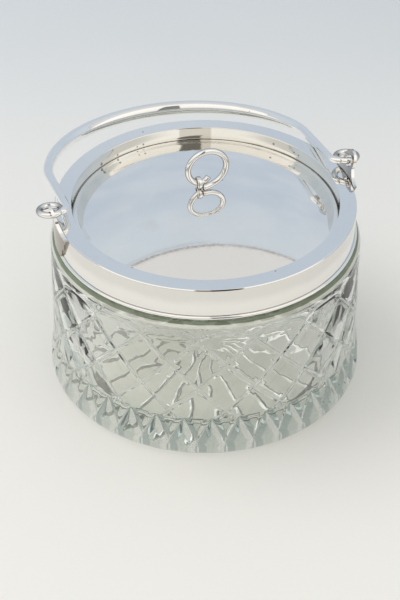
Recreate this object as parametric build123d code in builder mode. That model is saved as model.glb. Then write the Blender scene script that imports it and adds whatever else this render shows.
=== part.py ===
# Squat pressed-glass biscuit barrel: plated collar, loose domed lid with a ring finial, and a swing handle.
# Millimetres. +Z is up and the origin is the centre of the flat base. The handle's pivot runs along X, and
# the handle lies folded back along +Y.
import os
from math import acos, asin, atan2, cos, degrees, hypot, radians, sin, sqrt

from build123d import *

os.makedirs("parts", exist_ok=True)

# Collar: an inverted channel of plated sheet over the rim of the glass
rim_height = 99.0
collar_radius = 75.0
collar_sheet = 0.8
band_depth = 16.9
flange_width = 8.4
recess_depth = 7.0
bead_height = 1.9
bead_width = 1.1
seat_width = 3.4

# Lid: spherical dome inside a narrow flat rim
lid_sheet = 0.8
lid_side_gap = 0.4
lid_rim_width = 2.4
dome_rise = 13.0

# Glass jar
base_overhang = 7.0
heel_radius = 4.8
waist_overhang = 4.8
waist_height = 24.0
shoulder_overhang = 3.2
shoulder_round = 4.2
collar_float = 0.5
bedding_outer = 0.9
bedding_top = 0.9
bedding_inner = 1.5
glass_floor = 12.0
floor_round = 4.0
bore_draft = 1.3

# Mitre cuts: a star under the base, a zigzag round the foot and a trellis round the wall, both turned
# from +X by the pattern's own angle
pattern_turn = -91.2
star_rays = 28
star_hub = 7.0
star_margin = 8.0
star_cut_width = 2.6
star_cut_depth = 1.3
zigzag_facets = 36
zigzag_low = 8.2
zigzag_high = 23.2
zigzag_cut_width = 7.0
zigzag_cut_depth = 1.5
trellis_cells = 18
trellis_rows = 3
trellis_top = 70.5
trellis_rise = 14.4
trellis_cut_width = 2.6
trellis_cut_depth = 0.7

# Lugs: kite-shaped ears soldered to the band, with a hole that the handle's eye hangs in
lug_sheet = 1.4
lug_half_width = 14.6
lug_tip_half_width = 5.0
lug_lean = 3.4
pivot_rise = 6.6
lug_hole_radius = 3.2
lug_head_radius = 5.6
lug_head_angle = 20.0
lug_seam = 0.1

# Handle: one tapered wire, its ends bent round into eyes
handle_reach = 102.5
handle_straight = 41.0
handle_corner = 37.5
handle_end_radius = 1.9
handle_mid_radius = 3.85
handle_tip_radius = 1.45
eye_wire_radius = 1.6
eye_radius = 5.3
arm_set_in = 3.0
arm_bend = 6.0
arm_tip_angle = 45.0
handle_rest_gap = 0.6

# Finial: a split ring, its ends lapped at the bottom, in a small eye whose shank goes through the lid
ring_wire_radius = 1.5
ring_radius = 9.8
ring_half_turn = 192.0
ring_spread = 2.0
ring_tuck = 2.6
ring_flare = 0.6
ring_bend_share = 0.8
ring_eye_share = 0.82
ring_lean = -4.0
ring_lid_gap = 0.3
finial_side_shift = 3.3
finial_set_back = 0.8
finial_eye_clearance = 0.9
finial_eye_wall = 0.8
finial_eye_width = 2.4
finial_eye_round = 0.35
shank_radius = 1.0
shank_fit = 0.05
shank_end = 0.6
washer_radius = 4.0
washer_thickness = 0.8
nut_across_flats = 5.5
nut_thickness = 2.0

# Places worked out from the sizes above
base_radius = collar_radius + base_overhang
waist_radius = collar_radius + waist_overhang
shoulder_radius = collar_radius + shoulder_overhang
mouth_radius = collar_radius - flange_width
band_foot = rim_height - band_depth
seat_top = rim_height - recess_depth - lid_sheet
wall_foot = seat_top - collar_sheet
neck_radius = collar_radius - collar_sheet - bedding_outer
neck_top = rim_height - collar_sheet - bedding_top
throat_radius = mouth_radius + collar_sheet + bedding_inner
floor_radius = throat_radius - bore_draft
shoulder_top = band_foot - collar_float
star_reach = base_radius - heel_radius - star_margin
zigzag_middle = (zigzag_low + zigzag_high) / 2
zigzag_rise = zigzag_high - zigzag_low
zigzag_step = 180 / zigzag_facets
zigzag_tilt = degrees(atan2(radians(zigzag_step) * base_radius, zigzag_rise))
zigzag_slope = degrees(atan2(base_radius - waist_radius, waist_height - heel_radius))
zigzag_share = (waist_height - zigzag_middle) / (waist_height - heel_radius)
zigzag_radius = waist_radius + zigzag_share * (base_radius - waist_radius)
trellis_step = 180 / trellis_cells
trellis_tilt = degrees(atan2(radians(trellis_step) * waist_radius, trellis_rise))
trellis_slope = degrees(atan2(waist_radius - shoulder_radius, shoulder_top - waist_height))
lid_radius = mouth_radius - lid_side_gap
dome_edge = lid_radius - lid_rim_width
lid_edge_top = seat_top + lid_sheet
dome_top = lid_edge_top + dome_rise
dome_sphere = (dome_edge**2 + dome_rise**2) / (2 * dome_rise)
pivot_height = rim_height + pivot_rise


def dome_height(radius):
    """Height of the dome's upper face at a radius from its centre."""
    return dome_top - dome_sphere + sqrt(dome_sphere**2 - radius**2)


# Straight V-shaped bars that the mitre cuts are taken out with, one for each kind of cut
with BuildPart() as star_bar:
    with BuildSketch(Plane.YZ.offset(star_hub)):
        Polygon((-star_cut_width / 2, 0), (star_cut_width / 2, 0), (0, star_cut_depth), align=None)
    extrude(amount=star_reach - star_hub)

with BuildPart() as zigzag_bar:
    with BuildSketch(Plane.XY):
        Polygon(
            (-zigzag_cut_depth, 0),
            (zigzag_cut_depth, zigzag_cut_width),
            (zigzag_cut_depth, -zigzag_cut_width),
            align=None,
        )
    extrude(amount=zigzag_rise / cos(radians(zigzag_tilt)) / 2, both=True)

with BuildPart() as trellis_bar:
    with BuildSketch(Plane.XY):
        Polygon(
            (-trellis_cut_depth, 0),
            (trellis_cut_depth, trellis_cut_width),
            (trellis_cut_depth, -trellis_cut_width),
            align=None,
        )
    extrude(amount=trellis_rise / cos(radians(trellis_tilt)) / 2, both=True)

# Glass jar: heavy floor, nearly straight flared wall, round shoulder and a plain neck inside the collar
with BuildPart() as glass_jar:
    with BuildSketch(Plane.XZ):
        with BuildLine():
            Line((0, 0), (base_radius - heel_radius, 0))
            heel = CenterArc((base_radius - heel_radius, heel_radius), heel_radius, -90, 90)
            flare = Line(heel @ 1, (waist_radius, waist_height))
            wall = Line(flare @ 1, (shoulder_radius, shoulder_top - shoulder_round))
            shoulder = CenterArc(
                (shoulder_radius - shoulder_round, shoulder_top - shoulder_round), shoulder_round, 0, 90
            )
            Polyline(
                shoulder @ 1,
                (neck_radius, shoulder_top),
                (neck_radius, neck_top),
                (throat_radius, neck_top),
                (floor_radius, glass_floor + floor_round),
            )
            well = CenterArc(
                (floor_radius - floor_round, glass_floor + floor_round), floor_round, 0, -90
            )
            Polyline(well @ 1, (0, glass_floor), (0, 0))
        make_face()
    revolve(axis=Axis.Z)
    with PolarLocations(0, star_rays):
        add(star_bar.part, mode=Mode.SUBTRACT)
    for side in (-1, 1):
        zigzag_turn = pattern_turn + side * zigzag_step / 2
        zigzag_angles = (-side * zigzag_tilt, -zigzag_slope, 0)
        with PolarLocations(0, zigzag_facets, start_angle=zigzag_turn):
            with Locations(Location((zigzag_radius, 0, zigzag_middle), zigzag_angles, Intrinsic.XYZ)):
                add(zigzag_bar.part, mode=Mode.SUBTRACT)
    for row in range(trellis_rows):
        row_middle = trellis_top - (row + 1 / 2) * trellis_rise
        row_share = (row_middle - waist_height) / (shoulder_top - waist_height)
        row_radius = waist_radius + row_share * (shoulder_radius - waist_radius)
        for side in (-1, 1):
            row_turn = pattern_turn + side * trellis_step / 2 + row * trellis_step
            row_angles = (side * trellis_tilt, -trellis_slope, 0)
            with PolarLocations(0, trellis_cells, start_angle=row_turn):
                with Locations(Location((row_radius, 0, row_middle), row_angles, Intrinsic.XYZ)):
                    add(trellis_bar.part, mode=Mode.SUBTRACT)
glass_jar.part.label = "glass_jar"

# Plaster bedding: fills the channel between the neck of the glass and the collar
with BuildPart() as plaster_bedding:
    with BuildSketch(Plane.XZ):
        with BuildLine():
            Polyline(
                (neck_radius, band_foot),
                (neck_radius + bedding_outer, band_foot),
                (neck_radius + bedding_outer, neck_top + bedding_top),
                (throat_radius - bedding_inner, neck_top + bedding_top),
                (throat_radius - bedding_inner, wall_foot),
                (throat_radius - collar_sheet, wall_foot),
                (throat_radius, neck_top),
                (neck_radius, neck_top),
                close=True,
            )
        make_face()
    revolve(axis=Axis.Z)
plaster_bedding.part.label = "plaster_bedding"

# Collar: band, flat top and recess wall, in one piece of spun sheet
with BuildPart() as collar:
    with BuildSketch(Plane.XZ):
        with BuildLine():
            Polyline(
                (collar_radius - collar_sheet, band_foot),
                (collar_radius, band_foot),
                (collar_radius, rim_height),
                (mouth_radius, rim_height),
                (mouth_radius, wall_foot),
                (mouth_radius + collar_sheet, wall_foot),
                (mouth_radius + collar_sheet, rim_height - collar_sheet),
                (collar_radius - collar_sheet, rim_height - collar_sheet),
                close=True,
            )
        make_face()
    revolve(axis=Axis.Z)
    top_edges = collar.edges().filter_by(GeomType.CIRCLE).group_by(Axis.Z)[-1]
    fillet(top_edges.sort_by(SortBy.RADIUS)[-1], radius=collar_sheet * 0.9)
    fillet(top_edges.sort_by(SortBy.RADIUS)[0], radius=collar_sheet / 2)
collar.part.label = "collar"

# Half-round wire soldered round the foot of the band
with BuildPart() as collar_bead:
    with BuildSketch(Plane.XZ):
        with BuildLine():
            bead_back = Line((collar_radius, band_foot + bead_height), (collar_radius, band_foot))
            ThreePointArc(
                bead_back @ 1, (collar_radius + bead_width, band_foot + bead_height / 2), bead_back @ 0
            )
        make_face()
    revolve(axis=Axis.Z)
collar_bead.part.label = "collar_bead"

# Flat ring soldered inside the foot of the recess wall, which the lid rests on
with BuildPart() as seat_ring:
    with BuildSketch(Plane.XY.offset(wall_foot)):
        Circle(mouth_radius)
        Circle(mouth_radius - seat_width, mode=Mode.SUBTRACT)
    extrude(amount=collar_sheet)
seat_ring.part.label = "seat_ring"

# Right lug: a sheet that follows the band and leans outward above the rim, trimmed to the ear's outline
lug_foot = band_foot + bead_height + lug_seam
lug_top = pivot_height + lug_head_radius
lug_shoulder_height = pivot_height - lug_head_radius * sin(radians(lug_head_angle))
lug_shoulder_half = lug_head_radius * cos(radians(lug_head_angle))
with BuildPart() as lug_right:
    with BuildSketch(Plane.XZ):
        with BuildLine():
            Polyline(
                (collar_radius, lug_foot),
                (collar_radius + lug_sheet, lug_foot),
                (collar_radius + lug_sheet, rim_height - lug_sheet),
                (collar_radius + lug_lean + lug_sheet, lug_top + lug_sheet),
                (collar_radius + lug_lean, lug_top + lug_sheet),
                (collar_radius, rim_height),
                close=True,
            )
        make_face()
    revolve(axis=Axis.Z)
    with BuildSketch(Plane.YZ):
        with BuildLine():
            Polyline((lug_half_width, rim_height), (lug_tip_half_width, lug_foot), (0, lug_foot))
            ThreePointArc(
                (lug_half_width, rim_height),
                ((lug_half_width + lug_shoulder_half) / 2 - lug_sheet, rim_height + lug_sheet),
                (lug_shoulder_half, lug_shoulder_height),
            )
            CenterArc((0, pivot_height), lug_head_radius, -lug_head_angle, 90 + lug_head_angle)
            mirror(about=Plane.YZ)
        make_face()
        with Locations((0, pivot_height)):
            Circle(lug_hole_radius, mode=Mode.SUBTRACT)
    extrude(amount=collar_radius * 2, mode=Mode.INTERSECT)
lug_right.part.label = "lug_right"

with BuildPart() as lug_left:
    mirror(lug_right.part, about=Plane.YZ)
lug_left.part.label = "lug_left"

# Handle: lies folded back at the slope where its arms come to the rim of the collar
eye_centre = collar_radius + lug_lean * pivot_rise / (lug_top - rim_height) + lug_sheet / 2
arm_offset = eye_centre - eye_radius - arm_set_in
rim_reach = sqrt(collar_radius**2 - arm_offset**2)
rim_clear = handle_end_radius + handle_rest_gap
handle_slope = degrees(acos(rim_clear / hypot(pivot_rise, rim_reach)) - atan2(rim_reach, pivot_rise))
slope_cos = cos(radians(handle_slope))
slope_sin = sin(radians(handle_slope))
handle_plane = Plane(origin=(0, 0, pivot_height), x_dir=(1, 0, 0), z_dir=(0, slope_sin, slope_cos))

bend_centre = arm_offset + arm_bend
tip_side = eye_centre - eye_radius * cos(radians(arm_tip_angle))
tip_reach = eye_radius - eye_radius * sin(radians(arm_tip_angle))
bend_reach = tip_reach + sqrt(arm_bend**2 - (tip_side - bend_centre) ** 2)
bend_turn = degrees(atan2(bend_reach - tip_reach, bend_centre - tip_side))
corner_inset = arm_offset - handle_corner
top_drop = handle_straight - handle_reach
top_radius = (handle_corner**2 - corner_inset**2 - top_drop**2) / (2 * (top_drop + handle_corner))
top_centre = handle_reach - top_radius
corner_turn = degrees(atan2(handle_straight - top_centre, corner_inset))

with BuildLine(handle_plane) as handle_line:
    right_bend = CenterArc((bend_centre, bend_reach), arm_bend, 180 + bend_turn, -bend_turn)
    Line(right_bend @ 1, (arm_offset, handle_straight))
    CenterArc((corner_inset, handle_straight), handle_corner, 0, corner_turn)
    CenterArc((0, top_centre), top_radius, corner_turn, 180 - 2 * corner_turn)
    left_corner = CenterArc(
        (-corner_inset, handle_straight), handle_corner, 180 - corner_turn, corner_turn
    )
    Line(left_corner @ 1, (-arm_offset, bend_reach))
    CenterArc((-bend_centre, bend_reach), arm_bend, 0, -bend_turn)

handle_wire = handle_line.wires()[0]
bend_share = arm_bend * radians(bend_turn) / handle_wire.length
bend_steps = 3
arm_steps = 32
bend_shares = [bend_share * step / bend_steps for step in range(bend_steps)]
arm_shares = [bend_share + (1 - 2 * bend_share) * step / arm_steps for step in range(arm_steps + 1)]
section_shares = bend_shares + arm_shares + [1 - share for share in reversed(bend_shares)]


def handle_radius(share):
    """Radius of the handle's wire at a share of its length: thin at the eyes, thick in the middle."""
    swell = sin(radians(180 * share)) ** 1.3 if 0 < share < 1 else 0
    radius = handle_end_radius + (handle_mid_radius - handle_end_radius) * swell
    tip_share = min(min(share, 1 - share) / bend_share, 1)
    return handle_tip_radius + (radius - handle_tip_radius) * sin(radians(90 * tip_share))


with BuildPart() as bail:
    for share in section_shares:
        section_plane = Plane(
            origin=handle_wire @ share, x_dir=handle_plane.z_dir, z_dir=handle_wire % share
        )
        with BuildSketch(section_plane):
            Circle(handle_radius(share))
    loft()
    with Locations(handle_plane):
        with Locations((eye_centre, eye_radius, 0), (-eye_centre, eye_radius, 0)):
            Torus(eye_radius, eye_wire_radius)
bail.part.label = "bail"


def ring_point(share):
    """Centre line of the finial's ring, across, up and forward of its middle; share runs from -1 to 1."""
    angle = radians(ring_half_turn * share)
    tuck = ring_tuck * max(0, (share - ring_bend_share) / (1 - ring_bend_share)) ** 2
    flare = ring_flare * max(0, (-share - ring_bend_share) / (1 - ring_bend_share)) ** 2
    radius = ring_radius - tuck + flare
    return (-radius * sin(angle), radius * cos(angle), -ring_spread * share**4 * (1 if share > 0 else -1))


# Finial ring: hangs by one end in the eye, tipped forward a little, with the other end on the dome
lean_sin = sin(radians(ring_lean))
lean_cos = cos(radians(ring_lean))
ring_steps = 24
ring_points = [ring_point(step / ring_steps) for step in range(-ring_steps, ring_steps + 1)]
ring_foot = min(up * lean_cos + forward * lean_sin for across, up, forward in ring_points)
eye_across, eye_up, eye_forward = ring_point(ring_eye_share)
ring_middle = (
    -finial_side_shift - eye_across,
    finial_set_back - eye_up * lean_sin + eye_forward * lean_cos,
    dome_top + ring_lid_gap + ring_wire_radius - ring_foot,
)
ring_plane = Plane(origin=ring_middle, x_dir=(1, 0, 0), z_dir=(0, -lean_cos, lean_sin))
with BuildPart() as finial_ring:
    with BuildLine():
        ring_line = Spline([ring_plane.from_local_coords(point) for point in ring_points])
    with BuildSketch(Plane(origin=ring_line @ 0, z_dir=ring_line % 0)):
        Circle(ring_wire_radius)
    sweep()
finial_ring.part.label = "finial_ring"

# Lid: flat rim on the seat and a spherical dome, with the hole for the finial's shank
finial_pivot = ring_middle[2] + eye_up * lean_cos + eye_forward * lean_sin
finial_distance = hypot(finial_side_shift, finial_set_back)
dome_angle = degrees(asin(dome_edge / dome_sphere))
with BuildPart() as lid:
    with BuildSketch(Plane.XZ):
        with BuildLine():
            dome_centre = (0, dome_top - dome_sphere)
            outer_dome = CenterArc(dome_centre, dome_sphere, 90 - dome_angle, dome_angle)
            inner_dome = CenterArc(
                dome_centre, dome_sphere - lid_sheet, 90 - dome_angle, dome_angle
            )
            Polyline(
                outer_dome @ 0,
                (lid_radius, lid_edge_top),
                (lid_radius, seat_top),
                ((inner_dome @ 0).X, seat_top),
                inner_dome @ 0,
            )
            Line(outer_dome @ 1, inner_dome @ 1)
        make_face()
    revolve(axis=Axis.Z)
    with BuildSketch(Plane.XY.offset(dome_top)):
        with Locations((-finial_side_shift, finial_set_back)):
            Circle(shank_radius + shank_fit)
    extrude(amount=-2 * dome_rise, mode=Mode.SUBTRACT)
lid.part.label = "lid"

# Finial eye: a small cast loop, flat where it stands on the lid, with its shank through the lid
eye_hole_radius = ring_wire_radius + finial_eye_clearance
washer_top = dome_height(finial_distance + washer_radius) - lid_sheet
nut_top = washer_top - washer_thickness
shank_foot = nut_top - nut_thickness - shank_end
eye_plane = Plane(
    origin=(-finial_side_shift, finial_set_back, finial_pivot), x_dir=(1, 0, 0), z_dir=(0, -1, 0)
)
with BuildPart() as finial_eye:
    with BuildSketch(eye_plane):
        with Locations((0, eye_hole_radius + finial_eye_wall / 2)):
            RectangleRounded(finial_eye_width, finial_eye_wall, finial_eye_round)
    revolve(axis=Axis(eye_plane.origin, (1, 0, 0)))
    split(bisect_by=Plane.XY.offset(dome_top), keep=Keep.TOP)
    with BuildSketch(Plane.XY.offset(shank_foot)):
        with Locations((-finial_side_shift, finial_set_back)):
            Circle(shank_radius)
    extrude(amount=dome_top - shank_foot)
finial_eye.part.label = "finial_eye"

with BuildPart() as finial_washer:
    with BuildSketch(Plane.XY.offset(nut_top)):
        with Locations((-finial_side_shift, finial_set_back)):
            Circle(washer_radius)
            Circle(shank_radius + shank_fit, mode=Mode.SUBTRACT)
    extrude(amount=washer_thickness)
finial_washer.part.label = "finial_washer"

with BuildPart() as finial_nut:
    with BuildSketch(Plane.XY.offset(nut_top - nut_thickness)):
        with Locations((-finial_side_shift, finial_set_back)):
            RegularPolygon(nut_across_flats / 2, 6, major_radius=False)
            Circle(shank_radius + shank_fit, mode=Mode.SUBTRACT)
    extrude(amount=nut_thickness)
finial_nut.part.label = "finial_nut"

for piece in (
    glass_jar,
    plaster_bedding,
    collar,
    collar_bead,
    seat_ring,
    lug_right,
    lug_left,
    bail,
    lid,
    finial_eye,
    finial_washer,
    finial_nut,
    finial_ring,
):
    export_step(piece.part, "parts/" + piece.part.label + ".step")
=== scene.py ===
import math

import bpy
import numpy as np
from mathutils import Matrix, Vector


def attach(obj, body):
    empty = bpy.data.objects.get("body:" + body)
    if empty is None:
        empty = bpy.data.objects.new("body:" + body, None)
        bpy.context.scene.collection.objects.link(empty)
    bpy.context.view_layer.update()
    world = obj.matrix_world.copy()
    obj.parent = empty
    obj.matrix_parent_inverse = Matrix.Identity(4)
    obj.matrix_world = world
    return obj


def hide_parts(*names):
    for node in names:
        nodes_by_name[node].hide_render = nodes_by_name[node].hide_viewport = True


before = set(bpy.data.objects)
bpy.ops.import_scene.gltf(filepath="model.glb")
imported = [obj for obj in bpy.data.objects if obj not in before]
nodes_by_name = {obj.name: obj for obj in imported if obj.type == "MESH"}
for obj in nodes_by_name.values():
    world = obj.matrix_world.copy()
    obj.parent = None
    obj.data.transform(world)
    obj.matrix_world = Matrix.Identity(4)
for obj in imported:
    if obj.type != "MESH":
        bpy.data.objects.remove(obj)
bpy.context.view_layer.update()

MM = 0.001
TAU = 2 * math.pi

# Sizes in millimetres, as in the part's source
RIM = 99.0
COLLAR_R = 75.0
SHEET = 0.8
MOUTH_R = 66.6
BAND_FOOT = 82.1
WALL_FOOT = 90.4
SEAT_TOP = 91.2
LID_R = 66.2
DOME_EDGE_R = 63.8
LID_EDGE_TOP = 92.0
DOME_TOP = 105.0
DOME_SPHERE = (DOME_EDGE_R**2 + 13.0**2) / 26.0
PIVOT = 105.6
NECK_R, NECK_TOP = 73.3, 97.3
BASE_R, BASE_ROUND = 82.0, 4.8
WAIST_R, WAIST_Z = 79.8, 24.0
SHOULDER_R, SHOULDER_ROUND = 78.2, 4.2
WALL_TOP = 77.4
FLOOR_TOP, FLOOR_ROUND = 12.0, 4.0
BORE_R, BORE_DRAFT = 67.6, 1.3


# ---------------------------------------------------------------- meshes
def smooth_mesh(name, verts, faces, smooth=True):
    mesh = bpy.data.meshes.new(name)
    verts = np.asarray(verts, dtype=np.float64) * MM
    mesh.from_pydata(verts.tolist(), [], faces)
    mesh.update()
    if smooth:
        mesh.polygons.foreach_set("use_smooth", [True] * len(mesh.polygons))
    obj = bpy.data.objects.new(name, mesh)
    bpy.context.scene.collection.objects.link(obj)
    return obj


def grid_faces(rows, cols, wrap_rows, wrap_cols, flip=False):
    faces = []
    for i in range(rows if wrap_rows else rows - 1):
        a, b = i * cols, ((i + 1) % rows) * cols
        for j in range(cols if wrap_cols else cols - 1):
            k = (j + 1) % cols
            quad = (a + j, a + k, b + k, b + j)
            faces.append(quad[::-1] if flip else quad)
    return faces


def end_caps(rows, cols):
    """The two flat ends of an open grid."""
    last = (rows - 1) * cols
    return [tuple(range(cols))[::-1], tuple(last + i for i in range(cols))]


def arc(cx, cy, r, a0, a1, n):
    """Points of an arc in the (radius, height) plane, angles in degrees."""
    t = np.radians(np.linspace(a0, a1, n))
    return [(cx + r * math.cos(a), cy + r * math.sin(a)) for a in t]


def line(p, q, n, ends=(0, 1)):
    """n points from p to q; ends are the shares of the way at which the first and last lie."""
    s = np.linspace(ends[0], ends[1], n)
    return [(p[0] + (q[0] - p[0]) * u, p[1] + (q[1] - p[1]) * u) for u in s]


def lathe(name, loop, cols=360, wobble=None):
    """Revolves a closed loop of (radius, height) points about Z; the loop runs anticlockwise."""
    angles = np.arange(cols) * TAU / cols
    verts = []
    for r, z in loop:
        x, y = r * np.cos(angles), r * np.sin(angles)
        zz = np.full(cols, z)
        if wobble is not None:
            dr, dz = wobble(angles, z)
            x, y, zz = (r + dr) * np.cos(angles), (r + dr) * np.sin(angles), z + dz
        verts.append(np.stack([x, y, zz], 1))
    verts = np.concatenate(verts)
    return smooth_mesh(name, verts, grid_faces(len(loop), cols, True, True))


def tube(name, points, radii, sides, start_normal):
    """A round wire along points, with a radius at each; its ends are closed flat."""
    p = np.asarray(points, dtype=float)
    radii = np.asarray(radii, dtype=float)
    tangent = np.gradient(p, axis=0)
    tangent /= np.linalg.norm(tangent, axis=1)[:, None]
    normal = np.array(start_normal, float)
    verts = []
    angles = np.arange(sides) * TAU / sides
    for q, t, r in zip(p, tangent, radii):
        normal = normal - t * normal.dot(t)
        normal /= np.linalg.norm(normal)
        side = np.cross(t, normal)
        verts.append(q + r * (np.cos(angles)[:, None] * normal + np.sin(angles)[:, None] * side))
    faces = grid_faces(len(p), sides, False, True) + end_caps(len(p), sides)
    return smooth_mesh(name, np.concatenate(verts), faces)


def own(obj, body, node=None):
    """Puts a piece on its body, and in the place of a CAD node."""
    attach(obj, body)
    if node:
        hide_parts(node)
    return obj


def dome_height(r, lift=0.0):
    s = DOME_SPHERE + lift
    return DOME_TOP - DOME_SPHERE + math.sqrt(s * s - r * r)


# ---------------------------------------------------------------- glass jar
CELLS = 18
CELL = 360.0 / CELLS
FACETS = 2 * CELLS
COLS = CELLS * 60
LEVEL = 14.4
CROSS_Z = 70.5
PHASE = -1.2
ARCH_RISE = 5.0
CUT_HALF = 1.05
CUT_DEPTH = 0.6
PILLOW = 0.26
PILLOW_REACH = 7.0
FACET_DEPTH, FACET_REACH = 1.6, 3.4
FOOT_LOW, FOOT_HIGH = 8.2, 23.2


def wall_radius(z):
    return np.interp(z, [0, BASE_ROUND, WAIST_Z, WALL_TOP], [BASE_R, BASE_R, WAIST_R, SHOULDER_R])


def relief(psi, z):
    """Depth of the pressed pattern, inward from the plain wall; psi in degrees from the front, z in mm."""
    r = wall_radius(z)
    psi = psi - PHASE
    mm_per_deg = math.pi / 180 * r
    slope = (CELL / 2) / LEVEL
    squeeze = 1 / np.sqrt(1 + (slope * mm_per_deg) ** 2)
    lines = []
    for sign in (-1, 1):
        u = psi - sign * (z - CROSS_Z) * slope
        u = (u + CELL / 2) % CELL - CELL / 2
        lines.append(np.abs(u) * mm_per_deg * squeeze)
    trellis = np.minimum(*lines)
    # above the top crossings the panels close with flat rounded heads
    v = (psi % CELL) - CELL / 2
    x = v / (CELL / 2)
    arch_z = CROSS_Z + ARCH_RISE * np.sqrt(np.clip(1 - np.abs(x) ** 2.4, 0, 1))
    arch = np.abs(z - arch_z) * np.clip(0.4 + 0.6 * np.sqrt(np.clip(1 - np.abs(x), 0, 1)), 0.4, 1)
    upper = z > CROSS_Z
    dist = np.where(upper, arch, trellis)
    cut = CUT_DEPTH * np.where(upper, 0.5, 1.0) * np.clip(1 - dist / CUT_HALF, 0, 1)
    inside = np.where(upper, (z < arch_z), True)
    fade = np.clip((76.0 - z) / 9.0, 0, 1)
    pillow = PILLOW * np.clip(1 - dist / PILLOW_REACH, 0, 1) ** 2 * inside * fade
    lower = np.clip((z - FOOT_HIGH) / 2.0, 0, 1)
    wall = (cut + pillow) * lower
    # triangular facets round the foot
    foot_slope = (CELL / 4) / (FOOT_HIGH - FOOT_LOW)
    foot = 9e9
    for sign in (-1, 1):
        u = psi - sign * (z - FOOT_LOW) * foot_slope
        u = (u + CELL / 4) % (CELL / 2) - CELL / 4
        foot = np.minimum(foot, np.abs(u) * mm_per_deg * 0.9)
    band = np.clip((z - FOOT_LOW + 1.2) / 1.2, 0, 1) * np.clip((FOOT_HIGH + 0.6 - z) / 0.8, 0, 1)
    facet = FACET_DEPTH * np.clip(1 - foot / FACET_REACH, 0, 1) * band
    return wall + facet


STAR_RAYS = 28
STAR_HUB = 7.0
STAR_REACH = 69.2


def star(psi, r):
    """Height of the star's grooves under the base."""
    pitch = 360.0 / STAR_RAYS
    u = np.abs((psi + pitch / 2) % pitch - pitch / 2)
    dist = u * math.pi / 180 * r
    span = np.clip((r - STAR_HUB) / 8.0, 0, 1) * np.clip((STAR_REACH - r) / 4.0, 0, 1)
    width = (0.5 + 0.9 * (r / STAR_REACH) ** 1.2) * span + 1e-6
    return (0.8 + 0.9 * r / STAR_REACH) * span * np.clip(1 - dist / width, 0, 1)


def make_jar():
    """The jar as one skin, from the middle of its base up the outside and down the inside to its floor."""
    psi = np.arange(COLS) * 360.0 / COLS
    a = np.radians(psi)
    rows = []

    def ring(r, z):
        rows.append(np.stack([r * np.sin(a), -r * np.cos(a), z * np.ones(COLS)], 1))

    base_flat = BASE_R - BASE_ROUND
    for r in [*np.linspace(0.02, STAR_HUB, 4), *np.linspace(STAR_HUB + 1.4, base_flat, 48)]:
        ring(r, star(psi, r))
    for r, z in arc(base_flat, BASE_ROUND, BASE_ROUND, -80, 0, 9):
        ring(r, z)
    for z in np.arange(5.3, WALL_TOP, LEVEL / 30):
        heights = z * np.ones(COLS)
        fade = np.clip((77.0 - z) / 2.0, 0, 1)
        ring(wall_radius(heights) - relief(psi, heights) * fade, z)
    shoulder = arc(SHOULDER_R - SHOULDER_ROUND, WALL_TOP, SHOULDER_ROUND, 0, 90, 14)
    neck = [
        (NECK_R + 0.5, 81.6), (NECK_R + 0.08, 81.68), (NECK_R, BAND_FOOT), (NECK_R, NECK_TOP - 0.5),
        (NECK_R - 0.15, NECK_TOP - 0.12), (NECK_R - 0.5, NECK_TOP), (70.3, NECK_TOP), (69.9, NECK_TOP - 0.15),
        (68.9, NECK_TOP - 0.6),
    ]
    corner_z = FLOOR_TOP + FLOOR_ROUND
    draft = BORE_DRAFT / (NECK_TOP - corner_z)
    bore = [(BORE_R + draft * (z - corner_z), z) for z in np.linspace(92.7, corner_z + 1.0, 10)]
    corner = arc(BORE_R - FLOOR_ROUND, corner_z, FLOOR_ROUND, 0, -90, 12)
    inner_floor = [(r, FLOOR_TOP) for r in (56.0, 44.0, 30.0, 16.0, 6.0, 0.02)]
    for r, z in shoulder + neck + bore + corner + inner_floor:
        ring(r, z)
    faces = grid_faces(len(rows), COLS, False, True) + end_caps(len(rows), COLS)
    return smooth_mesh("jar_glass", np.concatenate(rows), faces)


jar = own(make_jar(), "barrel", "glass_jar")


# ---------------------------------------------------------------- collar and its trim
def hand_wave(amount, seed):
    """A slight unevenness of spun sheet, as shifts of radius and height."""
    rng = np.random.RandomState(seed)
    terms = [(k, rng.uniform(0, TAU), rng.uniform(0.3, 1.0) / k) for k in (2, 3, 5, 7, 11, 17)]

    def wobble(angles, z):
        w = sum(w0 * np.sin(k * angles + p + 0.13 * z) for k, p, w0 in terms)
        return amount * w, 0.6 * amount * sum(w0 * np.cos(k * angles + p) for k, p, w0 in terms)

    return wobble


def worn_corner(r, z):
    """The band's top corner: a small worn facet between two tight turns, as (radius, height) points."""
    parts = ((0, 30, 0.16, 4), (30, 47, 0.62, 6), (47, 90, 0.18, 5))
    pts = [(0.0, 0.0)]
    for a0, a1, length, n in parts:
        for k in range(n):
            a = math.radians(a0 + (a1 - a0) * (k + 0.5) / n)
            x, y = pts[-1]
            pts.append((x - math.sin(a) * length / n, y + math.cos(a) * length / n))
    top = pts[-1][1]
    return [(r + x, z - top + y) for x, y in pts]


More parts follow.
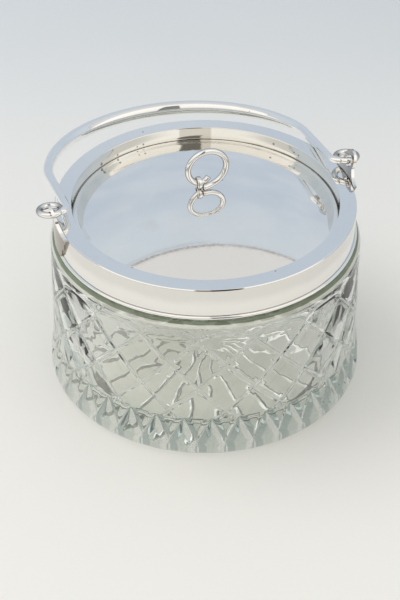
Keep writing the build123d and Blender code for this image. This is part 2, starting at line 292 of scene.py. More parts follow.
corner = worn_corner(COLLAR_R, RIM)
collar_loop = (
    line((COLLAR_R - SHEET, BAND_FOOT), (COLLAR_R, BAND_FOOT), 3, (0.1, 0.9))
    + line((COLLAR_R, BAND_FOOT + 0.1), (COLLAR_R, corner[0][1] - 0.1), 12)
    + corner
    + line((corner[-1][0] - 0.2, RIM), (MOUTH_R + 0.55, RIM), 8)
    + arc(MOUTH_R + 0.4, RIM - 0.4, 0.4, 100, 180, 6)
    + line((MOUTH_R, RIM - 0.6), (MOUTH_R, WALL_FOOT + 0.05), 8)
    + [(MOUTH_R + 0.1, WALL_FOOT), (MOUTH_R + SHEET - 0.1, WALL_FOOT)]
    + line((MOUTH_R + SHEET, WALL_FOOT + 0.1), (MOUTH_R + SHEET, RIM - SHEET), 5)
    + line((MOUTH_R + SHEET + 0.2, RIM - SHEET), (COLLAR_R - SHEET, RIM - SHEET), 5)
    + line((COLLAR_R - SHEET, RIM - SHEET - 0.2), (COLLAR_R - SHEET, BAND_FOOT + 0.1), 6)
)
collar = own(lathe("collar_sheet", collar_loop, 480, hand_wave(0.012, 3)), "barrel", "collar")

bead_loop = (
    [(COLLAR_R, BAND_FOOT + 1.9), (COLLAR_R, BAND_FOOT)]
    + arc(COLLAR_R - 0.02, BAND_FOOT + 0.95, 0.96, -80, 80, 14)
)
bead_loop = [(COLLAR_R + (r - COLLAR_R) * 1.12, z) for r, z in bead_loop]
bead = own(lathe("bead_wire", bead_loop, 360), "barrel", "collar_bead")

seat_loop = (
    line((63.25, WALL_FOOT), (MOUTH_R, WALL_FOOT), 3)
    + line((MOUTH_R, SEAT_TOP), (63.4, SEAT_TOP), 3)
    + arc(63.4, WALL_FOOT + 0.4, 0.4, 90, 250, 7)[1:]
)
seat = own(lathe("seat_flange", seat_loop, 240), "barrel", "seat_ring")


# ---------------------------------------------------------------- lid
def dome_points(lift, lo, hi, n):
    return [(r, dome_height(r, lift)) for r in np.linspace(lo, hi, n)]


lid_loop = (
    dome_points(0.0, DOME_EDGE_R - 0.3, 0.02, 40)
    + dome_points(-SHEET, 0.02, DOME_EDGE_R - 1.1, 24)
    + [(DOME_EDGE_R - 0.8, SEAT_TOP + 0.02), (DOME_EDGE_R - 0.5, SEAT_TOP)]
    + [(LID_R - 0.15, SEAT_TOP), (LID_R, SEAT_TOP + 0.15)]
    + [(LID_R, LID_EDGE_TOP - 0.25), (LID_R - 0.2, LID_EDGE_TOP)]
    + line((LID_R - 0.6, LID_EDGE_TOP), (DOME_EDGE_R + 0.25, LID_EDGE_TOP), 4)
)
lid = own(lathe("lid_dome", lid_loop, 360, hand_wave(0.006, 9)), "cover", "lid")


# ---------------------------------------------------------------- handle
SLOPE = math.radians(8.047)
ARM_X, STRAIGHT, CORNER_R, REACH = 69.24, 41.0, 37.5, 102.5
EYE_X, EYE_R, EYE_WIRE = 77.54, 5.3, 1.6
ARM_BEND = 6.0
END_WIRE, WIRE_GAIN, TIP_WIRE = 1.9, 1.95, 1.45
EYE_STEPS, EYE_SIDES = 72, 28
inset = ARM_X - CORNER_R
drop = STRAIGHT - REACH
top_r = (CORNER_R**2 - inset**2 - drop**2) / (2 * (drop + CORNER_R))
top_c = REACH - top_r
turn = math.degrees(math.atan2(STRAIGHT - top_c, inset))


def handle_half():
    """The middle line of the handle's right half, from the tip at the eye, in the handle's own plane."""
    tip_x = EYE_X - EYE_R * math.cos(math.radians(45))
    tip_v = EYE_R - EYE_R * math.sin(math.radians(45))
    bend_x = ARM_X + ARM_BEND
    bend_v = tip_v + math.sqrt(ARM_BEND**2 - (tip_x - bend_x) ** 2)
    bend_turn = math.degrees(math.atan2(bend_v - tip_v, bend_x - tip_x))
    return (
        arc(bend_x, bend_v, ARM_BEND, 180 + bend_turn, 180, 14)
        + line((ARM_X, bend_v), (ARM_X, STRAIGHT), 20)[1:]
        + arc(inset, STRAIGHT, CORNER_R, 0, turn, 14)[1:]
        + arc(0, top_c, top_r, turn, 90, 50)[1:]
    )


half = handle_half()
path = np.array(half + [(-x, v) for x, v in half[::-1]][1:])
lengths = np.concatenate([[0], np.cumsum(np.linalg.norm(np.diff(path, axis=0), axis=1))])
share = lengths / lengths[-1]
radii = END_WIRE + WIRE_GAIN * np.sin(np.pi * share) ** 1.3
near = np.clip(np.minimum(share, 1 - share) / 0.028, 0, 1)
radii = TIP_WIRE + (radii - TIP_WIRE) * np.sin(near * math.pi / 2)
handle_up = (0, math.sin(SLOPE), math.cos(SLOPE))


def on_handle(x, v):
    """A place in the folded handle's plane, v along its arms from the pivot."""
    return (x, v * math.cos(SLOPE), PIVOT - v * math.sin(SLOPE))


bail = tube("bail_wire", [on_handle(x, v) for x, v in path], radii, 40, handle_up)
own(bail, "handle", "bail")
for side, word in ((1, "right"), (-1, "left")):
    centre = np.array(on_handle(side * EYE_X, EYE_R))
    verts = []
    for a in np.linspace(0, TAU, EYE_STEPS + 1)[:-1]:
        q = np.array(on_handle(side * EYE_X + EYE_R * math.cos(a), EYE_R + EYE_R * math.sin(a)))
        out = (q - centre) / EYE_R
        for b in np.arange(EYE_SIDES) * TAU / EYE_SIDES:
            verts.append(q + EYE_WIRE * (math.cos(b) * out + math.sin(b) * np.array(handle_up)))
    eye = smooth_mesh("bail_eye_" + word, verts, grid_faces(EYE_STEPS, EYE_SIDES, True, True, True))
    own(eye, "handle")


# ---------------------------------------------------------------- finial
RING_R, RING_WIRE = 9.8, 1.5
RING_HALF_TURN, RING_SPREAD = 192.0, 2.0
RING_STEPS = 181
LEAN = math.radians(-4)
RING_MID = np.array((0.4498, -0.7317, 117.0911))


def ring_point(s):
    """The split ring's middle line, s from -1 to 1; its ends pass each other at the bottom."""
    a = math.radians(RING_HALF_TURN * s)
    tuck = 2.6 * max(0, (s - 0.8) / 0.2) ** 2
    flare = 0.6 * max(0, (-s - 0.8) / 0.2) ** 2
    r = RING_R - tuck + flare
    u, w = -r * math.sin(a), r * math.cos(a)
    n = -RING_SPREAD * s**4 * (1 if s > 0 else -1)
    y = w * math.sin(LEAN) - n * math.cos(LEAN)
    z = w * math.cos(LEAN) + n * math.sin(LEAN)
    return RING_MID + np.array((u, y, z))


ring_points = [ring_point(s) for s in np.linspace(-1, 1, RING_STEPS)]
ring = tube("pull_ring", ring_points, [RING_WIRE] * RING_STEPS, 32, (0, -1, 0))
own(ring, "pull", "finial_ring")

PULL_X, PULL_Y, PULL_Z = -3.3, 0.8, 108.150
PULL_STEPS, PULL_SIDES = 60, 28
SHANK_R, SHANK_FOOT = 1.0, 100.63


def squared(v, power):
    return abs(v) ** power * (1 if v > 0 else -1)


section = []
for k in range(PULL_SIDES):
    b = TAU * k / PULL_SIDES
    section.append((1.2 * squared(math.cos(b), 0.7), 2.8 + 0.4 * squared(math.sin(b), 0.8)))
verts = []
for a in np.linspace(0, TAU, PULL_STEPS + 1)[:-1]:
    for x, r in section:
        z = max(PULL_Z + r * math.cos(a), DOME_TOP - 0.02)
        verts.append((PULL_X + x, PULL_Y + r * math.sin(a), z))
pull_eye = smooth_mesh("pull_eye", verts, grid_faces(PULL_STEPS, PULL_SIDES, True, True))
own(pull_eye, "cover", "finial_eye")
shank_line = [(PULL_X, PULL_Y, SHANK_FOOT), (PULL_X, PULL_Y, DOME_TOP)]
shank = tube("pull_shank", shank_line, [SHANK_R] * 2, 20, (1, 0, 0))
own(shank, "cover")


# ---------------------------------------------------------------- materials
# The plate: its clean tones, its tarnish, the wire's painted rim shade and the collar's own tones, partly a
# painted warm reflection
PLATE_TONES = (0.93, 0.92, 0.90), (0.95, 0.945, 0.93), (0.87, 0.84, 0.78)
TARNISH = (0.15, 0.12, 0.085)
PAINTED_WIRE_SHADE = (0.20, 0.15, 0.10)
RECESS_TONES = (0.80, 0.775, 0.71), (0.89, 0.875, 0.83)
RECESS_PATCH = (0.42, 0.39, 0.32)
BAND_UPPER, BAND_LOWER = (0.80, 0.785, 0.755), (0.885, 0.87, 0.84)
# The glass: its tints, painted light and shade among them, its matt coats with painted highlight and shade,
# what it lets through and what it absorbs
WALL_TINT, FOOT_TINT = (1.0, 1.0, 0.99), (0.64, 0.71, 0.68)
PAINTED_SHADE_FLANK, PAINTED_LIGHT_FLANK = (0.34, 0.43, 0.43), (0.98, 1.0, 0.98)
PAINTED_HIGHLIGHT_COAT, PAINTED_SHADE_AND_RESIDUE_COAT = (0.93, 0.93, 0.92), (0.16, 0.155, 0.13)
PAINTED_PALE_LIGHT_COAT, PAINTED_NECK_SHADE_COAT = (0.74, 0.75, 0.69), (0.19, 0.225, 0.155)
PASSED_SQUARE, PASSED_EDGE = (0.996, 0.992, 0.976), (0.83, 0.85, 0.835)
ABSORB_COLOR, ABSORB_DENSITY = (0.45, 0.70, 0.56), 2.0
# Heights and radii of the marks, the painted light and shade among them, in metres
CREASE, WORN_EDGE = (0.08385, 0.08425), (0.09845, 0.09885)
STAR_CUT = (0.00012, 0.0019)
FACET_ZONE = (0.0030, 0.0236)
NECK_SHADE_LINE, PALE_LIGHT_ZONE = (0.0804, 0.0814), (0.0789, 0.0803)
RESIDUE_RADIUS, RESIDUE_FLOOR, RESIDUE_WALL = (0.0633, 0.0643), (0.0118, 0.0130), (0.0131, 0.0140)


def material(name):
    m = bpy.data.materials.new(name)
    m.use_nodes = True
    m.node_tree.nodes.clear()
    return m, m.node_tree.nodes, m.node_tree.links


def node(nodes, kind, **values):
    n = nodes.new(kind)
    for k, v in values.items():
        if k in n.inputs:
            n.inputs[k].default_value = v
        else:
            setattr(n, k, v)
    return n


def ramp(nodes, stops):
    r = nodes.new("ShaderNodeValToRGB")
    el = r.color_ramp.elements
    while len(el) > 1:
        el.remove(el[-1])
    el[0].position, el[0].color = stops[0][0], (*stops[0][1], 1)
    for pos, col in stops[1:]:
        e = el.new(pos)
        e.color = (*col, 1)
    return r


class Tree:
    """Short forms for the sums that the shaders need."""

    def __init__(self, nodes, links):
        self.nodes, self.links = nodes, links

    def put(self, socket, value):
        if isinstance(value, bpy.types.NodeSocket):
            self.links.new(value, socket)
        else:
            socket.default_value = value

    def math(self, operation, a, b=0.0, c=0.0):
        n = self.nodes.new("ShaderNodeMath")
        n.operation = operation
        for socket, value in zip(n.inputs, (a, b, c)):
            self.put(socket, value)
        return n.outputs[0]

    def times(self, a, b):
        return self.math("MULTIPLY", a, b)

    def larger(self, a, b):
        return self.math("MAXIMUM", a, b)

    def step(self, value, lo, hi):
        """0 at lo and 1 at hi, smooth between and held beyond both."""
        n = self.nodes.new("ShaderNodeMapRange")
        n.interpolation_type = "SMOOTHSTEP"
        for k, v in (("Value", value), ("From Min", lo), ("From Max", hi), ("To Min", 0.0), ("To Max", 1.0)):
            self.put(n.inputs[k], v)
        return n.outputs["Result"]

    def band(self, value, lo, hi, soft):
        """1 from lo to hi and 0 further out than soft beyond them."""
        return self.times(self.step(value, lo - soft, lo), self.step(value, hi + soft, hi))

    def mix(self, fac, a, b):
        n = self.nodes.new("ShaderNodeMix")
        n.data_type = "RGBA"
        self.put(n.inputs["Factor"], fac)
        for k, v in (("A", a), ("B", b)):
            self.put(n.inputs[k], v if isinstance(v, bpy.types.NodeSocket) else (*v, 1))
        return n.outputs["Result"]

    def vector(self, operation, a, b):
        n = self.nodes.new("ShaderNodeVectorMath")
        n.operation = operation
        self.put(n.inputs[0], a)
        self.put(n.inputs[1], b)
        return n.outputs["Value"]

    def polar(self, place):
        """A place's distance from the jar's axis, its angle about it, and its height."""
        parts = self.nodes.new("ShaderNodeSeparateXYZ")
        self.links.new(place, parts.inputs[0])
        x, y, z = parts.outputs
        radius = self.math("SQRT", self.math("ADD", self.times(x, x), self.times(y, y)))
        return radius, self.math("ARCTAN2", y, x), z

    def noise(self, vector, scale, detail, rough=0.6):
        n = node(self.nodes, "ShaderNodeTexNoise", Scale=scale, Detail=detail, Roughness=rough)
        self.links.new(vector, n.inputs["Vector"])
        return n.outputs["Fac"]


def silver(name, spots=(), recess=False, painted_rim_shade=0.0, cloudy=0.0):
    """Polished plate with fine scratches and a little tarnish; recess adds the collar's own tones, partly a
    painted warm reflection, and the rim setting paints shade along the wire's rims.
    """
    m, nodes, links = material(name)
    t = Tree(nodes, links)
    out = nodes.new("ShaderNodeOutputMaterial")
    b = nodes.new("ShaderNodeBsdfPrincipled")
    b.inputs["Metallic"].default_value = 1.0
    place = nodes.new("ShaderNodeTexCoord").outputs["Object"]
    big = t.noise(place, 28.0, 6.0)
    fine = t.noise(place, 420.0, 3.0)
    speck = node(nodes, "ShaderNodeTexVoronoi", Scale=95.0)
    links.new(place, speck.inputs["Vector"])
    tone = ramp(nodes, list(zip((0.3, 0.62, 0.8), PLATE_TONES)))
    links.new(big, tone.inputs["Fac"])
    colour = tone.outputs["Color"]
    dirt = t.times(t.step(speck.outputs["Distance"], 0.06, 0.035), t.step(big, 0.6, 0.72))
    for (x, y, z), size in spots:
        away = t.vector("DISTANCE", place, (x * MM, y * MM, z * MM))
        dirt = t.larger(dirt, t.times(t.step(away, size * MM, size * 0.3 * MM), 0.75))
    if recess:
        radius, angle, z = t.polar(place)
        # the recess wall keeps a warm grey tone, partly tarnish and partly a painted warm reflection, darker
        # along its foot and in one patch at the back
        wall = t.times(t.step(radius, 0.0669, 0.0667), t.step(z, 0.0903, 0.0905))
        streak = t.noise(place, 60.0, 5.0)
        patch = t.times(t.band(angle, math.radians(69.5), math.radians(83), 0.02), 0.5)
        warm = t.mix(streak, *RECESS_TONES)
        warm = t.mix(patch, warm, RECESS_PATCH)
        colour = t.mix(wall, colour, warm)
        foot = t.times(wall, t.step(z, 0.0930, 0.0920))
        foot = t.times(foot, t.math("MULTIPLY_ADD", t.band(angle, -0.9, 0.75, 0.3), 0.8, 0.2))
        uneven = t.times(t.step(streak, 0.35, 0.65), 0.5)
        dirt = t.larger(dirt, t.times(foot, uneven))
        # the band is a little duller toward its top, and its corner is worn dark at the front
        outer = t.step(radius, 0.0747, 0.0749)
        height = t.math("MULTIPLY_ADD", streak, 0.006, z)
        colour = t.mix(t.times(outer, t.step(height, 0.090, 0.097)), colour, BAND_UPPER)
        colour = t.mix(t.times(outer, t.step(height, 0.097, 0.088)), colour, BAND_LOWER)
        worn = t.times(t.step(radius, 0.0742, 0.0744), t.band(z, *WORN_EDGE, 0.00012))
        worn = t.times(worn, t.band(angle, math.radians(-111.4), math.radians(-96), 0.03))
        dirt = t.larger(dirt, t.times(worn, 0.85))
        # a dark line of polish dirt lies above the bead
        crease = t.times(t.step(radius, 0.0746, 0.0748), t.band(z, *CREASE, 0.00025))
        dirt = t.larger(dirt, t.times(crease, 0.62))
    colour = t.mix(dirt, colour, TARNISH)
    if painted_rim_shade:
        # painted shade: darker where the surface turns away from the eye, standing in for dark reflections at
        # grazing angles; it follows the view, and isn't a tone of the metal
        facing = node(nodes, "ShaderNodeLayerWeight", Blend=0.5)
        painted_rim_shade_mask = t.times(t.step(facing.outputs["Facing"], 0.25, 0.72), painted_rim_shade)
        colour = t.mix(painted_rim_shade_mask, colour, PAINTED_WIRE_SHADE)
    links.new(colour, b.inputs["Base Color"])
    rough = ramp(nodes, [(0.35, (0.03 + cloudy,) * 3), (0.75, (0.09 + 2 * cloudy,) * 3)])
    links.new(fine, rough.inputs["Fac"])
    links.new(rough.outputs["Color"], b.inputs["Roughness"])
    bump = node(nodes, "ShaderNodeBump", Strength=0.02, Distance=0.0004)
    links.new(fine, bump.inputs["Height"])
    links.new(bump.outputs["Normal"], b.inputs["Normal"])
    links.new(b.outputs["BSDF"], out.inputs["Surface"])
    return m


def glass_material():
    """Clear pressed glass, with matt coats of painted highlight and shade for the star and the shoulder, and
    for the residue inside.
    """
    m, nodes, links = material("pressed_glass")
    t = Tree(nodes, links)
    out = nodes.new("ShaderNodeOutputMaterial")
    b = nodes.new("ShaderNodeBsdfPrincipled")
    b.inputs["Base Color"].default_value = (1.0, 1.0, 1.0, 1)
    b.inputs["Transmission Weight"].default_value = 1.0
    b.inputs["Roughness"].default_value = 0.0
    b.inputs["IOR"].default_value = 1.5
    place = nodes.new("ShaderNodeTexCoord").outputs["Object"]
    bump = node(nodes, "ShaderNodeBump", Strength=0.12, Distance=0.0012)
    links.new(t.noise(place, 60.0, 2.0), bump.inputs["Height"])
    links.new(bump.outputs["Normal"], b.inputs["Normal"])
    # the star's cuts get a matt coat of painted light: one flank a painted highlight with a faint painted
    # glow, the other painted shade, standing in for what refraction shows
    radius, angle, z = t.polar(place)
    turns = t.math("MULTIPLY_ADD", angle, STAR_RAYS / TAU, STAR_RAYS / 4 + 0.5)
    flank = t.math("SUBTRACT", t.math("FRACT", t.math("ADD", turns, STAR_RAYS)), 0.5)
    cut = t.times(t.band(z, *STAR_CUT, 0.00006), t.step(radius, 0.0700, 0.0695))
    star_painted_highlight = t.times(cut, t.step(flank, 0.01, -0.01))
    star_painted_shade = t.times(cut, t.step(flank, -0.01, 0.01))
    # the heavy foot is faintly green, and each of its facets has a painted light flank and a painted
    # blue-grey shade flank, standing in for what refraction shows
    foot = t.times(t.step(z, 0.027, 0.018), t.step(radius, 0.066, 0.069))
    tint = t.mix(foot, WALL_TINT, FOOT_TINT)
    facets = t.math("MULTIPLY_ADD", angle, FACETS / TAU, 2 * FACETS + FACETS / 4 - PHASE / (CELL / 2))
    rate = 0.5 / ((FOOT_HIGH - FOOT_LOW) * MM)
    held = t.math("MINIMUM", t.larger(z, (FOOT_LOW - 2.0) * MM), FOOT_HIGH * MM)
    rise = t.math("MULTIPLY_ADD", held, rate, -FOOT_LOW * MM * rate)
    one = t.math("SUBTRACT", t.math("FRACT", t.math("ADD", t.math("SUBTRACT", facets, rise), 0.5)), 0.5)
    two = t.math("SUBTRACT", t.math("FRACT", t.math("ADD", t.math("ADD", facets, rise), 0.5)), 0.5)
    first = t.math("LESS_THAN", t.math("ABSOLUTE", one), t.math("ABSOLUTE", two))
    second = t.times(t.math("SUBTRACT", 1.0, first), two)
    side = t.math("ADD", t.times(first, one), second)
    outer = t.times(t.band(z, *FACET_ZONE, 0.0006), t.step(radius, 0.0760, 0.0764))
    dim = t.times(outer, t.times(t.step(side, 0.0, 0.012), t.step(side, 0.30, 0.24)))
    lit = t.times(outer, t.times(t.step(side, 0.0, -0.012), t.step(side, -0.26, -0.20)))
    tint = t.mix(dim, tint, PAINTED_SHADE_FLANK)
    links.new(t.mix(lit, tint, PAINTED_LIGHT_FLANK), b.inputs["Base Color"])
    # the shoulder gets one thin line of painted shade, standing in for the dark neck seen through it, and a
    # painted pale band of light below it
    rim = t.step(radius, 0.0732, 0.0736)
    neck = t.times(t.band(z, *NECK_SHADE_LINE, 0.0002), rim)
    pale = t.times(t.band(z, *PALE_LIGHT_ZONE, 0.00035), rim)
    # fine lines of residue where the floor turns up into the wall
    ring_a = t.times(t.band(radius, *RESIDUE_RADIUS, 0.0002), t.band(z, *RESIDUE_FLOOR, 0.0001))
    ring_b = t.times(t.band(z, *RESIDUE_WALL, 0.0002), t.step(radius, 0.0680, 0.0678))
    residue = t.larger(ring_a, ring_b)
    # the matt coat's colour: a painted highlight, painted shade for the star's dark flank, the residue's
    # dark, and the shoulder's painted pale band and shade line
    matt = nodes.new("ShaderNodeBsdfDiffuse")
    coats = t.mix(t.larger(star_painted_shade, residue), PAINTED_HIGHLIGHT_COAT, PAINTED_SHADE_AND_RESIDUE_COAT)
    coats = t.mix(t.step(pale, 0.1, 0.6), coats, PAINTED_PALE_LIGHT_COAT)
    links.new(t.mix(t.step(neck, 0.1, 0.6), coats, PAINTED_NECK_SHADE_COAT), matt.inputs["Color"])
    coat = nodes.new("ShaderNodeMixShader")
    sparkle = t.step(t.noise(place, 130.0, 2.0), 0.38, 0.6)
    # a faint painted glint on the star's bright flank, a glow from no lamp
    painted_glint = nodes.new("ShaderNodeEmission")
    painted_glint.inputs["Color"].default_value = (1.0, 1.0, 0.98, 1)
    links.new(t.times(t.times(star_painted_highlight, sparkle), 0.62), painted_glint.inputs["Strength"])
    amount = t.larger(t.times(star_painted_highlight, 0.68), t.times(star_painted_shade, 0.62))
    amount = t.larger(amount, t.times(residue, 0.85))
    amount = t.larger(amount, t.times(pale, 0.62))
    links.new(t.larger(amount, t.times(neck, 0.85)), coat.inputs["Fac"])
    links.new(b.outputs["BSDF"], coat.inputs[1])
    both = nodes.new("ShaderNodeAddShader")
    links.new(matt.outputs["BSDF"], both.inputs[0])
    links.new(painted_glint.outputs["Emission"], both.inputs[1])
    links.new(both.outputs["Shader"], coat.inputs[2])
    # lamp light and light from the floor pass straight through, a little dimmed where the wall lies edge on
    clear = nodes.new("ShaderNodeBsdfTransparent")
    facing = node(nodes, "ShaderNodeLayerWeight", Blend=0.5)
    edge = t.step(facing.outputs["Facing"], 0.35, 0.95)
    links.new(t.mix(edge, PASSED_SQUARE, PASSED_EDGE), clear.inputs["Color"])
    path = nodes.new("ShaderNodeLightPath")
    mix = nodes.new("ShaderNodeMixShader")
    unbent = t.larger(path.outputs["Is Shadow Ray"], path.outputs["Is Diffuse Ray"])
    links.new(unbent, mix.inputs["Fac"])
    links.new(coat.outputs["Shader"], mix.inputs[1])
    links.new(clear.outputs["BSDF"], mix.inputs[2])
    links.new(mix.outputs["Shader"], out.inputs["Surface"])
    absorb = nodes.new("ShaderNodeVolumeAbsorption")
    absorb.inputs["Color"].default_value = (*ABSORB_COLOR, 1)
    absorb.inputs["Density"].default_value = ABSORB_DENSITY
    links.new(absorb.outputs["Volume"], out.inputs["Volume"])
    return m


def simple(name, color, rough, metallic=0.0):
    """A plain grained material, a little darker in patches."""
    m, nodes, links = material(name)
    out = nodes.new("ShaderNodeOutputMaterial")
    b = nodes.new("ShaderNodeBsdfPrincipled")
    b.inputs["Metallic"].default_value = metallic
    b.inputs["Roughness"].default_value = rough
    coord = nodes.new("ShaderNodeTexCoord")
    n = node(nodes, "ShaderNodeTexNoise", Scale=200.0, Detail=5.0)
    links.new(coord.outputs["Object"], n.inputs["Vector"])
    r = ramp(nodes, [(0.3, tuple(c * (1 - 0.12) for c in color)), (0.7, color)])
    links.new(n.outputs["Fac"], r.inputs["Fac"])
    links.new(r.outputs["Color"], b.inputs["Base Color"])
    bump = node(nodes, "ShaderNodeBump", Strength=0.2, Distance=0.0003)
    links.new(n.outputs["Fac"], bump.inputs["Height"])
    links.new(bump.outputs["Normal"], b.inputs["Normal"])
    links.new(b.outputs["BSDF"], out.inputs["Surface"])
    return m


# Spots of tarnish, each as its place and its radius in millimetres
collar_spots = [
    ((-50.2, -43.5, 99.0), 1.1), ((11.6, -67.1, 99.0), 0.6), ((-11.8, 69.3, 99.0), 0.7),
    ((52.0, 41.6, 95.5), 1.0), ((59.2, 30.5, 95.5), 0.7), ((60.7, 27.6, 95.2), 0.7),
    ((-28.5, 60.2, 93.4), 0.9), ((-39.0, 54.0, 93.6), 1.2), ((-12.9, 65.3, 93.8), 0.9),
    ((-16.5, 64.5, 93.5), 0.7),
]
lid_spots = [((7.2, -30.7, 101.7), 0.35), ((10.2, 4.6, 104.7), 0.8)]
plate = silver("silver_plate")
plate_collar = silver("silver_collar", spots=collar_spots, recess=True)
plate_lid = silver("silver_lid", spots=lid_spots, cloudy=0.01)
plate_wire = silver("silver_wire", painted_rim_shade=0.85)
glass = glass_material()
# the bedding's colour is painted shade: far darker than off-white plaster, standing in for the shade in its
# closed hollow
plaster = simple("plaster", (0.20, 0.19, 0.155), 0.9)
brass = simple("brass", (0.72, 0.55, 0.28), 0.3, 1.0)
dull = silver("silver_dull", cloudy=0.03)


def dress(obj, mat):
    obj.data.materials.clear()
    obj.data.materials.append(mat)


dress(collar, plate_collar)
dress(bead, plate)
dress(seat, dull)
dress(lid, plate_lid)
dress(bail, plate)
for name in ("bail_eye_right", "bail_eye_left"):
    dress(bpy.data.objects[name], plate_wire)
for obj in (ring, pull_eye, shank):
    dress(obj, plate_wire)
dress(jar, glass)
for name in ("lug_left", "lug_right"):
    dress(nodes_by_name[name], plate_wire)
    bevel = nodes_by_name[name].modifiers.new("soft edge", "BEVEL")
    bevel.width = 0.0003
    bevel.segments = 3
    bevel.limit_method = "ANGLE"
dress(nodes_by_name["plaster_bedding"], plaster)
for name in ("finial_washer", "finial_nut"):
    dress(nodes_by_name[name], brass)


# ---------------------------------------------------------------- floor, camera, world and lights
FLOOR_HALF = 3000.0
NEAR_FLOOR = (0.845, 0.83, 0.795), (0.865, 0.85, 0.815)
FAR_FLOOR = (0.61, 0.645, 0.675), (0.64, 0.67, 0.70)
# TURN is the object's own turn in the picture; CAM is taken in collar radii from the middle of the rim
YAW, PITCH, ROLL = math.radians(-0.396), math.radians(38.37), math.radians(0.181)
TURN = math.radians(18.9)
CAM = np.array((0.0184, -7.6908, 5.2261)) * COLLAR_R


def to_row(v):
    """From the camera's level directions to the object's, which is turned by TURN."""
    a, b, c = v
    return Vector((a * math.cos(TURN) + b * math.sin(TURN), -a * math.sin(TURN) + b * math.cos(TURN), c))


def make_floor():
    m, nodes, links = material("floor")
    t = Tree(nodes, links)
    out = nodes.new("ShaderNodeOutputMaterial")
    b = nodes.new("ShaderNodeBsdfPrincipled")
    b.inputs["Roughness"].default_value = 0.6
    place = nodes.new("ShaderNodeTexCoord").outputs["Object"]
    depth = t.vector("DOT_PRODUCT", place, to_row((0, 1, 0)))
    cool = t.step(depth, 0.0, 0.45)
    grain = t.noise(place, 9.0, 3.0, 0.5)
    links.new(t.mix(cool, t.mix(grain, *NEAR_FLOOR), t.mix(grain, *FAR_FLOOR)), b.inputs["Base Color"])
    links.new(b.outputs["BSDF"], out.inputs["Surface"])
    s = FLOOR_HALF
    floor = smooth_mesh("floor", [(-s, -s, 0), (s, -s, 0), (s, s, 0), (-s, s, 0)], [(0, 1, 2, 3)], False)
    dress(floor, m)


make_floor()

forward = to_row((math.sin(YAW) * math.cos(PITCH), math.cos(YAW) * math.cos(PITCH), -math.sin(PITCH)))
right = to_row((math.cos(YAW), -math.sin(YAW), 0))
up = right.cross(forward)
r2 = math.cos(ROLL) * right + math.sin(ROLL) * up
u2 = -math.sin(ROLL) * right + math.cos(ROLL) * up
cam_data = bpy.data.cameras.new("camera")
cam_data.lens = 84.0
cam_data.sensor_width = 36.0
cam_data.clip_start = 0.01
cam_data.clip_end = 50
cam = bpy.data.objects.new("camera", cam_data)
place = to_row(CAM) + Vector((0, 0, RIM))
cam.matrix_world = Matrix(
    (
        (r2.x, u2.x, -forward.x, place.x * MM),
        (r2.y, u2.y, -forward.y, place.y * MM),
        (r2.z, u2.z, -forward.z, place.z * MM),
        (0, 0, 0, 1),
    )
)
bpy.context.scene.collection.objects.link(cam)
bpy.context.scene.camera = cam


# The line between the world's two zones, and their colours
EDGE_BEND, EDGE_SLOPE, EDGE_START = -0.1308, 0.1417, 0.4547
COOL_ZONE, COOL_CLOUD = ((0.60, 0.665, 0.72), (0.52, 0.59, 0.68)), (0.66, 0.71, 0.755)
WARM_ZONE = [
    (0.0, (0.40, 0.37, 0.32)), (0.08, (0.52, 0.48, 0.41)), (0.14, (0.80, 0.75, 0.67)),
    (0.20, (1.0, 0.97, 0.92)), (0.42, (1.08, 1.07, 1.04)), (0.5, (0.80, 0.795, 0.78)),
    (0.56, (0.72, 0.715, 0.70)),
]
DARK_LINE, SECOND_LINE, DARK_ZONE = (0.26, 0.22, 0.19), (0.33, 0.36, 0.40), (0.10, 0.095, 0.09)
SEEN_PLAIN = (0.74, 0.755, 0.76)


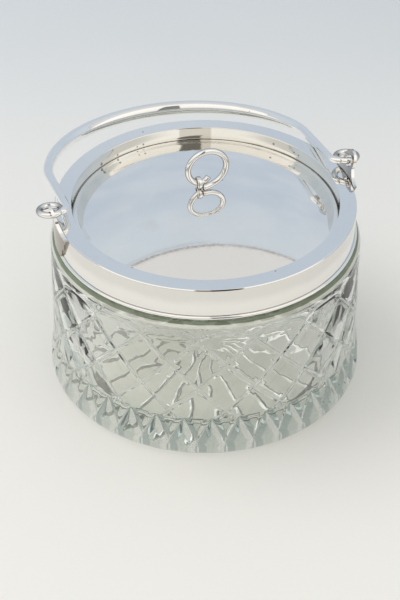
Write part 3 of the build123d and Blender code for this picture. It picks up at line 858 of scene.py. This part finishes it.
def make_world():
    world = bpy.data.worlds.new("studio")
    bpy.context.scene.world = world
    world.use_nodes = True
    nodes, links = world.node_tree.nodes, world.node_tree.links
    nodes.clear()
    t = Tree(nodes, links)
    out = nodes.new("ShaderNodeOutputWorld")
    bg = nodes.new("ShaderNodeBackground")
    way = nodes.new("ShaderNodeTexCoord").outputs["Generated"]
    x = t.vector("DOT_PRODUCT", way, to_row((1, 0, 0)))
    y = t.vector("DOT_PRODUCT", way, to_row((0, 1, 0)))
    z = t.larger(t.vector("DOT_PRODUCT", way, (0, 0, 1)), 0.03)
    u = t.math("DIVIDE", x, z)
    v = t.math("DIVIDE", y, z)
    u_held = t.math("MINIMUM", t.larger(u, -2.2), 2.2)
    # a cool pale zone up to a curved line, and a warm white zone beyond it
    bend = t.times(t.times(u_held, u_held), EDGE_BEND)
    edge = t.math("ADD", t.math("ADD", t.times(u_held, EDGE_SLOPE), bend), EDGE_START)
    gap = t.math("SUBTRACT", v, edge)
    cloud = t.noise(way, 5.0, 4.0, 0.55)
    cool = t.mix(t.step(v, 0.5, 1.5), *COOL_ZONE)
    cool = t.mix(t.times(t.step(cloud, 0.35, 0.7), 0.45), cool, COOL_CLOUD)
    lean = t.math("DIVIDE", v, t.math("ADD", 1.0, t.math("ABSOLUTE", v)))
    front = ramp(nodes, WARM_ZONE)
    links.new(t.math("MULTIPLY_ADD", lean, 0.5, 0.5), front.inputs["Fac"])
    colour = t.mix(t.step(gap, -0.006, 0.006), front.outputs["Color"], cool)
    thin = t.band(gap, 0.0, 0.008, 0.008)
    colour = t.mix(t.times(thin, 0.9), colour, DARK_LINE)
    second = t.times(t.band(gap, 0.038, 0.042, 0.007), t.step(u, 0.1, -0.1))
    colour = t.mix(t.times(second, 0.6), colour, SECOND_LINE)
    # one narrow dark zone toward the front, which gives the polished plate some contrast
    across = t.math("DIVIDE", u, t.larger(t.times(v, -1.0), 0.01))
    narrow = t.times(t.band(across, 0.10, 0.46, 0.03), t.step(v, -0.36, -0.44))
    colour = t.mix(t.times(narrow, 0.85), colour, DARK_ZONE)
    # the camera sees a plain pale background; the plate and the glass show the zones above instead
    path = nodes.new("ShaderNodeLightPath")
    links.new(t.mix(path.outputs["Is Camera Ray"], colour, SEEN_PLAIN), bg.inputs["Color"])
    bg.inputs["Strength"].default_value = 1.0
    links.new(bg.outputs["Background"], out.inputs["Surface"])


make_world()


def area(name, place, target, size, power, color=(1, 1, 1)):
    data = bpy.data.lights.new(name, "AREA")
    data.shape = "DISK"
    data.size = size
    data.energy = power
    data.color = color
    obj = bpy.data.objects.new(name, data)
    obj.location = place
    obj.rotation_euler = (Vector(target) - Vector(place)).to_track_quat("-Z", "Y").to_euler()
    bpy.context.scene.collection.objects.link(obj)
    return obj


key = area("key", (-0.9, 0.5, 1.5), (0, 0, 0.05), 1.4, 10.0, (1.0, 0.98, 0.95))
fill = area("fill", (-0.2, -1.5, 0.9), (0, 0, 0.03), 1.0, 2.2)
for lamp in (key, fill):
    lamp.visible_glossy = False
    lamp.visible_transmission = False

bpy.context.scene.view_settings.view_transform = "Standard"
